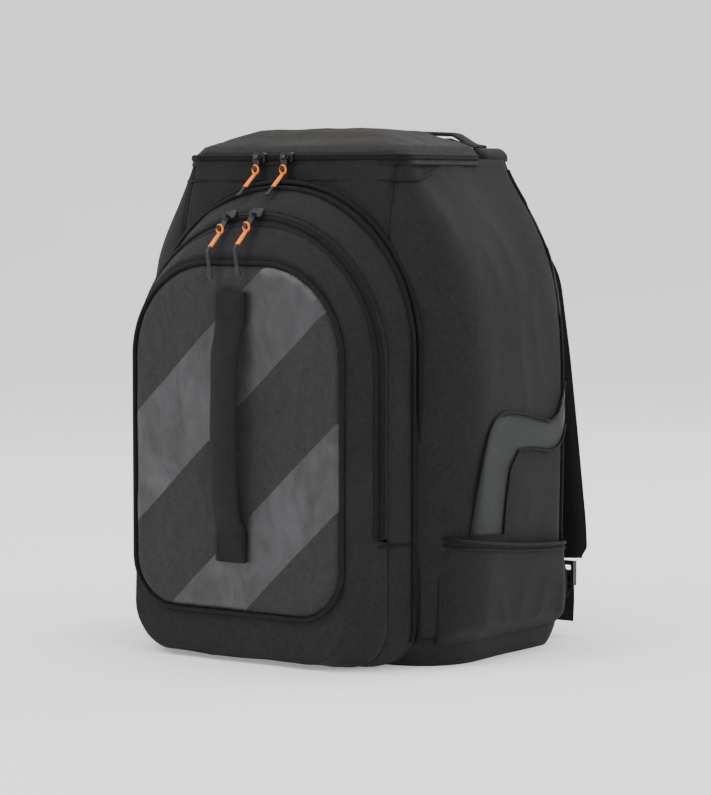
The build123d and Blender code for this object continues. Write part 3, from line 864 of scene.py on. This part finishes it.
def lid_hinge(cloth):
    """The strip of cloth the lid folds on, from the yoke up onto the lid's back edge."""
    side_view = [(95, 475.0), (86, 475.2), (81.2, 474.8), (78.3, 476.3), (73.8, 479.6), (69.6, 482.6)]
    bend = arc_path([(0, y, z) for y, z in side_view], 18)
    half = np.interp(bend[:, 2], [475.3, 482.6], [111.0, 93.0])
    x = half[:, None] * np.linspace(-1.0, 1.0, 90)
    p = bend[:, None] + x[..., None] * np.array([1.0, 0.0, 0.0])
    strip = grid_object("lid_hinge_cloth", p, cloth, thick=1.0)
    metres((0, 85.0, 475.0))
    metres((0, 78.5, 478.0))
    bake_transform(strip)


def lid_zip(tape, coil):
    """The lid's two zip halves: along the front and both sides."""
    for node, z0, z1, edge_z, coil_z, body, table in (
        ("lid_zip_lower", 457.5, 463.9, 463.9, 463.6, "bag", BODY),
        ("lid_zip_upper", 465.1, 471.0, 465.2, 465.8, "lid", LID),
    ):
        rows = []
        for z in np.linspace(z0, z1, 5):
            flat = both_sides(resample(plan_line(table, z, 1.0), 120, 0.0, LID_ZIP_REACH))
            rows.append(at_height(flat, z))
        obj = grid_object(node + "_tape", np.array(rows), tape, thick=1.0)
        flat = both_sides(resample(plan_line(table, edge_z, 1.3), 260, 0.0, LID_ZIP_REACH))
        teeth = coil_ridge(node + "_coil", at_height(flat, coil_z), (0, 0, 1), 0.95, coil)
        dress(join(node + "_tape", [obj, teeth]), body, "zip_tape", node)


def yoke_cloth(cloth):
    rows = []
    for t in np.linspace(0.0, 1.0, 8):
        z = 461.5 + 12.5 * math.sin(t * math.pi / 2)
        k = 1 - math.cos(t * math.pi / 2)
        shape = (122 - 12 * k, 83.5 + 3 * k, 136 - 2 * k, 10, 12)
        rows.append(at_height(grown(shape, 0.0, 239), z))
    top = rows[-1]
    centre = middle(top)
    for k in np.linspace(0.95, 0.02, 14):
        rows.append(centre + (top - centre) * np.array([k, k, 1.0]))
    p = sew(np.array(rows), "b", 33, closed=True, dip=1.0, wave=0.5, crease=0.4)
    obj = grid_object("yoke_cloth", p, cloth, closed=True, caps="last")
    dress(obj, "bag", "shell_fabric", "rear_yoke")


def arc_path(points, count):
    """A smooth line through a few points."""
    out = resample(np.array(points, float), count)
    window = max(3, count // (2 * len(points)))
    kernel = np.hanning(window + 2)[1:-1]
    kernel /= kernel.sum()
    padded = np.concatenate([
        2 * out[0] - out[1 : window + 1][::-1],
        out,
        2 * out[-1] - out[-window - 1 : -1][::-1],
    ])
    mixed = np.stack([np.convolve(padded[:, k], kernel, "same") for k in range(3)], axis=1)
    return mixed[window : window + count]


def handles(strap, thread):
    """The hauling handle behind the lid and the long grab handle down the front."""
    half = [(0, 490.6), (64, 488.0), (84, 477.0), (94, 475.6)]
    front_view = [(-x, z) for x, z in half[:0:-1]] + half
    path = arc_path([(x, 124, z) for x, z in front_view], 120)
    top = sweep("top_handle_band", path, (0, 0, 1), flat_profile(19.0, 2.6, 0.8), strap)
    dress(top, "bag", "webbing", "top_handle")
    y = PANEL_Y - 3.4
    side_view = [(y, 95), (y, 118), (-163.5, 150), (-165.5, 219), (-163.5, 288), (y, 319), (y, 342)]
    path = arc_path([(0, *place) for place in side_view], 150)
    s = lengths(path)
    profile = []
    for at in s:
        end = min(at, s[-1] - at)
        full = smooth((end - 26.0) / 20.0)
        width = 33.0 - 3.0 * full + 0.5 * math.sin(at / 9.0)
        profile.append(flat_profile(width, 3.0 - 1.0 * full, 0.6 + 1.3 * full))
    band = sweep("front_handle_band", path, (0, -1, 0), np.array(profile), strap)
    folds = []
    for low, high in ((95.0, 122.0), (315.0, 342.0)):
        line = arc_path([(0, y - 1.2, low), (0, y - 1.2, high)], 30)
        folds.append(sweep("fold", line, (0, -1, 0), flat_profile(34.0, 3.0, 0.5), strap))
    dress(join("front_handle_band", [band, *folds]), "pocket_front", "webbing", "front_grab_handle")
    rows = []
    out = np.tile([0.0, -1.0, 0.0], (40, 1))
    for low, high in ((97.0, 120.0), (317.0, 340.0)):
        corners = [(-14, low), (14, low), (14, high), (-14, high), (-14, low), (14, high)]
        for (x0, z0), (x1, z1) in zip(corners, corners[1:]):
            line = np.linspace((x0, y - 3.2, z0), (x1, y - 3.2, z1), 40)
            rows.append((line, out))
    dress(stitches("front_handle_stitching", rows, thread, 3.0, 2.2, 0.3), "pocket_front", "webbing")


# ---- sides --------------------------------------------------------------------------------
def side_pocket_cloth(frame, cloth, piping):
    """The flat lower side pockets: pouches standing off the side, with a bound top edge."""
    skin = Skin(frame, "side_wall_right", "front_wall", "back_wall", "base_tub")
    rows = []
    levels = np.linspace(0.0, 1.0, 32)
    for z in POUCH_LOW + POUCH_RISE * levels:
        line = plan_line(BODY, z, 2.5)
        start = place_of(line, 1, POUCH_FRONT_Y, 0)
        end = place_of(line, 1, POUCH_BACK_Y, 1)
        rows.append(at_height(resample(line, 76, start, end), z))
    base = skin.snap(np.array(rows), 0.2)
    n = grid_normals(base, False)
    d = edge_distance(base, "lrb")
    stand = 8.6 * smooth(d / 20.0) + 0.6
    p = base + n * stand[..., None]
    sag = 3.0 * np.sin(np.linspace(0, math.pi, p.shape[1]))
    p[..., 2] += (np.linspace(7.0, -13.0, p.shape[1]) - sag) * levels[:, None]
    for side, q, seed in (("right", p, 41), ("left", mirrored(p), 42)):
        cloth_p = sew(q, "lrb", seed, dip=0.9, wave=1.3, crease=1.0)
        pouch = grid_object(f"side_pocket_cloth_{side}", cloth_p, cloth, thick=2.2)
        out = grid_normals(cloth_p, False)
        cords = []
        for row, radius in ((-1, 1.9), (-3, 1.3)):
            cords.append(sweep("hem", cloth_p[row] + out[row] * 0.4, out[row], circle(radius, 8), piping))
        cords.append(sweep("edge", cloth_p[:, 0], out[:, 0], circle(1.5, 8), piping))
        dress(pouch, "bag", "shell_fabric", f"side_pocket_{side}")
        dress(join(f"side_pocket_hem_{side}", cords), "bag", "piping_fabric")


# the side inlay's front and back edges, as (y, z)
INLAY_FRONT = [
    (-44, 119), (-30, 172), (-14, 220), (0, 233), (50, 226), (92, 215), (106, 220), (126, 254)
]
INLAY_BACK = [(12, 117), (18, 160), (24, 178), (38, 192), (60, 192), (100, 187), (113, 192), (128, 212)]


def side_inlays(frame, satin, piping):
    """The smooth bent inlays over the side pockets, edged with fine piping."""
    skin = Skin(frame, "side_inlay_right", "side_wall_right", "back_wall")
    front = resample(np.array(INLAY_FRONT, float), 90)
    back = resample(np.array(INLAY_BACK, float), 90)
    for line in (front, back):
        relax(line, 60)
    across = np.linspace(0, 1, 22)[None, :, None]
    flat = front[:, None] * (1 - across) + back[:, None] * across
    x = np.full(flat.shape[:2] + (1,), 199.0)
    p = skin.snap(np.concatenate([x, flat], axis=2), 0.3)
    rims = [line_on(skin, p[:, k], 0.5) for k in (0, -1)]
    p = sew(p, "lr", 51, dip=1.0, wave=0.6, crease=0.3, pucker=0.3)
    for side, sign in RIGHT_LEFT:
        turn = np.array([sign, 1.0, 1.0])
        q = p if sign > 0 else mirrored(p)
        sheet = grid_object(f"side_inlay_satin_{side}", q, satin, thick=0.8)
        cords = [sweep("rim", line * turn, out * turn, circle(1.25, 8), piping) for line, out in rims]
        dress(sheet, "bag", "inlay_fabric", f"side_inlay_{side}")
        dress(join(f"side_inlay_edge_{side}", cords), "bag", "piping_fabric")


# ---- back and harness ---------------------------------------------------------------------
# shoulder strap's middle line, as (z, x, y)
STRAP = [(446.0, 60.0, 146.5), (415.0, 74.0, 162.0), (380.0, 95.0, 172.0), (340.0, 119.0, 176.0),
         (270.0, 129.0, 177.0), (195.0, 138.0, 177.0), (110.0, 147.0, 178.0), (74.0, 149.0, 178.0)]
# pads: half width, bottom, top, bottom and top radius
BACK_PAD, BACK_PAD_X = (45.0, 118.0, 395.0, 24.0, 28.0), 72.0
LUMBAR_PAD = (127.0, 35.0, 105.0, 26.0, 20.0)
# webbing and the wing's outline, as (y, z)
WEBBING_RUN = [(175, 50), (174.5, 46), (166, 40), (155, 33)]
WEBBING_END = [(180, 58), (180.6, 34), (179, 13)]
WING = [(124, 108), (146, 104), (167, 66), (168, 50), (161, 27), (148, 14), (122, 14)]


def back_place(y):
    return lambda a, b, out: (-a, y + out, b)


def wing_place(sign):
    return lambda a, b, out: (sign * (159.6 + out), a, b)


def back_panel_pads(mesh):
    for side, sign in RIGHT_LEFT:
        flat = grown(BACK_PAD, 0.0, 199) - np.array([sign * BACK_PAD_X, 0.0])
        name = f"back_pad_cushion_{side}"
        pad = pillow(name, flat, back_place(138.5), 11.5, 9.0, mesh, seed=60 + sign, crown=1.6)
        dress(pad, "bag", "mesh_fabric", f"back_pad_{side}")
    flat = grown(LUMBAR_PAD, 0.0, 239)
    pad = pillow("lumbar_cushion", flat, back_place(138.0), 13.5, 10.0, mesh, seed=63, crown=2.0)
    dress(pad, "bag", "mesh_fabric", "lumbar_pad")


def shoulder_strap(side, sign, cloth, piping, strap, thread):
    """One padded shoulder strap with its piped edges, stitching and overlaid webbing."""
    path = arc_path([(sign * x, y, z) for z, x, y in STRAP], 160)
    s = lengths(path)
    profile = []
    for at in s:
        end = smooth((s[-1] - at) / 12.0)
        profile.append(flat_profile(64.0 * (0.8 + 0.2 * end), 8.0 + 2.0 * end, 2.6 * end))
    pad = sweep(f"shoulder_pad_{side}", path, (0, 1, 0), np.array(profile), cloth)
    dress(pad, "bag", "strap_fabric", f"shoulder_strap_{side}")
    _, across, up = frames_along(path, (0, 1, 0))
    widths = np.array([q[:, 0].max() for q in profile])[:, None]
    edges = []
    lines = []
    for turn in (-1, 1):
        edges.append(sweep("edge", path + across * turn * (widths - 0.3), up, circle(1.7, 8), piping))
        lines.append((path + across * turn * (widths - 7.0) + up * 5.1, up))
    dress(join(f"shoulder_edge_{side}", edges), "bag", "piping_fabric")
    run = arc_path([(sign * x, y + 7.4, z) for z, x, y in STRAP[1:]], 120)
    ladder = sweep(f"strap_overlay_{side}", run, (0, 1, 0), flat_profile(24.0, 1.6, 0.2), strap)
    dress(ladder, "bag", "webbing")
    dress(stitches(f"shoulder_stitching_{side}", lines, thread), "bag", "strap_fabric")


def lower_webbing(side, sign, strap):
    """The webbing from the ladder lock down to the bag, and its loose end."""
    flat = flat_profile(24.0, 1.6, 0.1)
    runs = (
        ("lower_webbing", "strap_webbing", 155.0, (0, -0.5, 1), WEBBING_RUN),
        ("webbing_end", "strap_tail", 154.0, (0, 1, 0), WEBBING_END),
    )
    for name, node, x, up, side_view in runs:
        path = arc_path([(sign * x, y, z) for y, z in side_view], 40)
        dress(sweep(f"{name}_{side}", path, up, flat, strap), "bag", "webbing", f"{node}_{side}")


def lower_wing(side, sign, cloth):
    """The padded flap low on the side that anchors the webbing."""
    flat = resample(np.array([*WING, WING[0]], float), 120)
    relax(flat, 14, ring=True)
    ring = flat[:-1][:: int(sign)]
    wing = pillow(
        f"lower_wing_{side}", ring, wing_place(sign), 8.0, 3.6, cloth, seed=70, wave=0.5, crown=0.8
    )
    dress(wing, "bag", "strap_fabric", f"strap_wing_{side}")


def harness(cloth, piping, strap, thread):
    """The padded shoulder straps, the lower wings and the adjusting webbing."""
    for side, sign in RIGHT_LEFT:
        shoulder_strap(side, sign, cloth, piping, strap, thread)
        lower_webbing(side, sign, strap)
        lower_wing(side, sign, cloth)


# ---- pullers ------------------------------------------------------------------------------
ARCH_CENTRE_Z, LINK_Z = 268.0, 412.6
SLOPE = np.array([0.0, -0.6357, -0.7719])  # down the pocket's front slope
PULL_DROP = np.array([0.0, -0.8, -0.6])
LID_DROP = np.array([0.0, -0.81, -0.585])
LID_STEM, LID_TAIL = 22.5, 13.0  # lengths of the orange stem and of the black tail
POCKET_STEM, TAIL_REACH, TAIL_DROP = 22.0, 6.0, 26.0


def turned(points, pivot, degrees):
    """Points turned about the Y direction through a pivot; positive leans a hanging line to -X."""
    a = math.radians(degrees)
    q = np.asarray(points, float) - pivot
    x = q[..., 0] * math.cos(a) + q[..., 2] * math.sin(a)
    z = -q[..., 0] * math.sin(a) + q[..., 2] * math.cos(a)
    return np.stack([x, q[..., 1], z], axis=-1) + pivot


def pull_pieces(place, side, eye, start, end, tail, lean, orange, black):
    """One puller: a moulded orange loop and ribbed stem, and a black tail with a moulded end."""
    body = f"{place}_pull_{side}"
    name = body + "_loop"
    pivot = eye + np.array([0.0, 0.0, 0.9])
    a = np.linspace(0, 2 * math.pi, 49)
    ring = eye + np.stack([3.1 * np.cos(a), 0 * a, 3.9 * np.sin(a) - 0.5], axis=1)
    ring = turned(ring, pivot, lean)
    loop = sweep("loop", ring, (0, -1, 0), flat_profile(2.0, 1.5, 0.3), orange, caps=False)
    path = turned(arc_path([start, (start + end) / 2, end], 90), pivot, lean)
    s = lengths(path) / lengths(path)[-1]
    ribs = 1.0 + 0.11 * np.clip(np.sin(s * 2 * math.pi * 9), 0, 1) * smooth((s - 0.25) / 0.1)
    neck = 0.62 + 0.38 * smooth(s / 0.3)
    profile = flat_profile(4.4, 1.7, 0.4)[None] * np.stack([neck * ribs, ribs], axis=1)[:, None]
    bar = sweep("stem", path, (0, -1, 0), profile, orange)
    dress(join(name, [loop, bar]), body, "orange_rubber", f"{place}_puller_{side}")
    path = turned(arc_path(tail, 60), pivot, lean)
    s = lengths(path) / lengths(path)[-1]
    knob = 1.0 + 0.35 * smooth((s - 0.72) / 0.08) - 0.5 * smooth((s - 0.95) / 0.05)
    knob -= 0.12 * np.clip(np.sin(s * 2 * math.pi * 7), 0, 1) * (s < 0.7)
    profile = flat_profile(4.0, 1.6, 0.4)[None] * knob[:, None, None]
    cord = sweep(name + "_tail", path, (0, -1, 0), profile, black)
    dress(cord, body, "black_cord", f"{place}_puller_tail_{side}")


def pulls(orange, black):
    for side, x, lean in (("left", -35.0, -4.0), ("right", -3.0, -6.0)):
        eye = np.array([x, -69.0, 453.6])
        start = eye + np.array([0, 0, -3.7])
        end = start + LID_DROP * LID_STEM
        tip = end + LID_DROP * LID_TAIL
        tail = [end - LID_DROP, tip]
        pull_pieces("lid", side, eye, start, end, tail, lean, orange, black)
    for side, angle, lean in (("left", -10.5, -8.0), ("right", 1.6, -10.0)):
        radius = LINK_Z - ARCH_CENTRE_Z
        x = radius * math.sin(math.radians(angle))
        drop = radius * (math.cos(math.radians(angle)) - 1)
        hook = np.array([x, -126.4, LINK_Z - 3.6 + drop]) + SLOPE * 9.0
        eye = hook + np.array([0.0, -3.2, -0.9])
        start = hook + np.array([0.0, -3.2, -4.4])
        end = start + PULL_DROP * POCKET_STEM
        bend = end + PULL_DROP * TAIL_REACH
        tip = bend - np.array([0.0, 0.0, TAIL_DROP])
        tail = [end - PULL_DROP, bend, tip]
        pull_pieces("pocket", side, eye, start, end, tail, lean, orange, black)


# ---- studio -------------------------------------------------------------------------------
def studio():
    """A pale floor that curves up into a backdrop behind the bag, and soft lights."""
    places = np.linspace(-14.0, 14.0, 57)
    x, y = np.meshgrid(places, places)
    behind = -x * math.sin(VIEW_AZIMUTH) + y * math.cos(VIEW_AZIMUTH) - 3.6
    rows = np.stack([x, y, 0.12 * np.clip(behind, 0.0, None) ** 2], axis=2)
    s = Shader("studio_floor", 0.9)
    tone = s.clouds(0.6, 2.0)
    s.wear("Base Color", s.blend_colours(tone, (0.86, 0.86, 0.86), (0.9, 0.9, 0.9)))
    s.bsdf.inputs["Emission Color"].default_value = (1.0, 1.0, 1.0, 1.0)
    s.bsdf.inputs["Emission Strength"].default_value = 0.3
    floor = grid_object("floor", rows / MM - SHIFT, s.material)
    world = bpy.data.worlds.new("studio")
    world.use_nodes = True
    world.node_tree.nodes["Background"].inputs[0].default_value = (1.0, 1.0, 1.0, 1.0)
    world.node_tree.nodes["Background"].inputs[1].default_value = 1.0
    bpy.context.scene.world = world
    lights = [
        ("key", (-1.2, -2.2, 2.4), 1.6, 54.0),
        ("fill", (2.6, -1.2, 1.4), 1.8, 20.0),
        ("rim", (0.9, 2.4, 2.0), 1.2, 40.0),
        ("top", (0.0, 0.0, 2.9), 1.6, 26.0),
    ]
    for name, place, width, power in lights:
        data = bpy.data.lights.new(name, "AREA")
        data.size = width
        data.energy = power
        lamp = bpy.data.objects.new(name, data)
        lamp.location = place
        lamp.rotation_euler = (CENTRE - Vector(place)).to_track_quat("-Z", "Y").to_euler()
        bpy.context.scene.collection.objects.link(lamp)


def camera():
    data = bpy.data.cameras.new("camera")
    cam = bpy.data.objects.new("camera", data)
    away = Vector((
        math.sin(VIEW_AZIMUTH) * math.cos(VIEW_ELEVATION),
        -math.cos(VIEW_AZIMUTH) * math.cos(VIEW_ELEVATION),
        math.sin(VIEW_ELEVATION),
    ))
    cam.location = VIEW_TARGET + away * VIEW_DISTANCE
    cam.rotation_euler = (-away).to_track_quat("-Z", "Y").to_euler()
    data.sensor_fit = "HORIZONTAL"
    data.sensor_width = 36.0
    data.lens = VIEW_LENS
    bpy.context.scene.collection.objects.link(cam)
    bpy.context.scene.camera = cam


def paint(frame, nodes, material):
    """Gives CAD nodes whose shape is right their material."""
    for node in nodes:
        mesh = frame["nodes"][node].data
        mesh.materials.clear()
        mesh.materials.append(material)


def main():
    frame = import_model()
    shell = woven("shell_cloth", (0.0125, 0.0125, 0.0135))
    front = woven("front_cloth_plain", (0.014, 0.014, 0.015))
    panel = front_cloth("front_cloth_banded", (0.0135, 0.0135, 0.0145))
    # the lid's cloth is painted about twice as light as the walls' cloth, and a little warmer: painted
    # light on the bag's top
    lid = woven("lid_cloth_brushed", (0.027, 0.0255, 0.024), roughness=0.86)
    lining = woven("lining_cloth", (0.05, 0.05, 0.052), pitch=0.0006, roughness=0.7)
    satin = woven(
        "satin_cloth", (0.0115, 0.0132, 0.0136), 0.0005, roughness=0.42, sheen=0.05, creases=0.0003
    )
    pad = woven("strap_cloth", (0.0065, 0.0065, 0.0072), roughness=0.85)
    piping = webbing("piping_cloth", (0.006, 0.006, 0.0066), 0.0012)
    strap = webbing("strap_webbing", (0.0095, 0.0095, 0.0102))
    thread = webbing("thread", (0.016, 0.016, 0.017), 0.0006)
    mesh = spacer_mesh("spacer_mesh", (0.02, 0.02, 0.022))
    tape = zip_cloth("zip_tape_twill", (0.007, 0.007, 0.0076))
    coil = webbing("zip_coil", (0.005, 0.005, 0.0055), 0.0011)
    orange = moulded("orange_rubber_skin", (0.95, 0.21, 0.008), 0.42)
    black = moulded("black_rubber_skin", (0.008, 0.008, 0.009), 0.5)
    metal = painted_metal("dark_plated_metal", (0.03, 0.03, 0.032))
    plastic = moulded("buckle_plastic_skin", (0.014, 0.014, 0.015), 0.42, 0.0015, 0.00005)
    board = moulded("board_plastic_skin", (0.05, 0.05, 0.052), 0.55, 0.002, 0.0001)

    compartment(frame, shell, lining)
    body_seams(frame, piping, thread)
    gusset(front)
    zip_half("pocket_zip_back", 6.4, 0.3, 1.1, "bag", tape, coil)
    zip_half("pocket_zip_front", -0.3, -6.6, -1.1, "pocket_front", tape, coil)
    skin = pocket_skin(front)
    cushion, cord = front_panel(panel, piping)
    for piece in (skin, cushion, cord):
        metres(FOLD_START)
        metres(FOLD_END)
        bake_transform(piece)
    arch_piping(piping)
    lid_cloth(lid, lining)
    lid_hinge(lid)
    lid_zip(tape, coil)
    yoke_cloth(shell)
    handles(strap, thread)
    side_pocket_cloth(frame, shell, piping)
    side_inlays(frame, satin, piping)
    back_panel_pads(mesh)
    harness(pad, piping, strap, thread)
    pulls(orange, black)
    hard = [n for n in frame["nodes"] if "slider" in n or "pull_tab" in n]
    paint(frame, hard, metal)
    paint(frame, ["ladder_lock_left", "ladder_lock_right"], plastic)
    paint(frame, ["floor_board", "frame_sheet"], board)
    studio()
    camera()


main()
